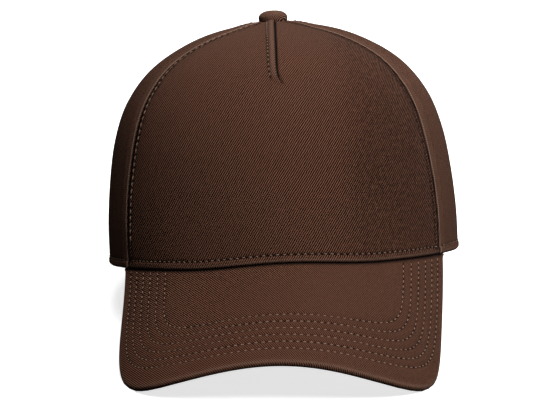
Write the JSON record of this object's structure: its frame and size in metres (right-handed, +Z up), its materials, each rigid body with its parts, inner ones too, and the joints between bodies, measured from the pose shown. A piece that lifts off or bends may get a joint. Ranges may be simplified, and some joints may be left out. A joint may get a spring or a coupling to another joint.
{
  "type": "five-panel cap",
  "caption": "Brown cotton-twill five-panel cap with a high front panel, a curved stitched peak, a top button and a closing strap at the back.",
  "frame": {"origin": "on the surface that the cap rests on, under the middle of its bounding box", "axes": "+Z up, +Y towards the back of the cap, the peak towards -Y, left is -X"},
  "size_m": [0.1746, 0.2604, 0.143],
  "materials": {
    "crown_twill": "matt brushed cotton twill, dark brown",
    "peak_twill": "matt cotton twill over a board, dark brown",
    "button_twill": "matt cotton twill, dark brown",
    "band_cloth": "matt plain cotton, dark brown",
    "strap_webbing": "matt doubled twill, dark brown"
  },
  "bodies": {
    "root": {"front_panel": "crown_twill", "side_panel_left": "crown_twill", "side_panel_right": "crown_twill", "back_panel_left": "crown_twill", "back_panel_right": "crown_twill", "button": "button_twill", "peak": "peak_twill", "sweatband": "band_cloth", "back_strap": "strap_webbing"}
  },
  "joints": []
}
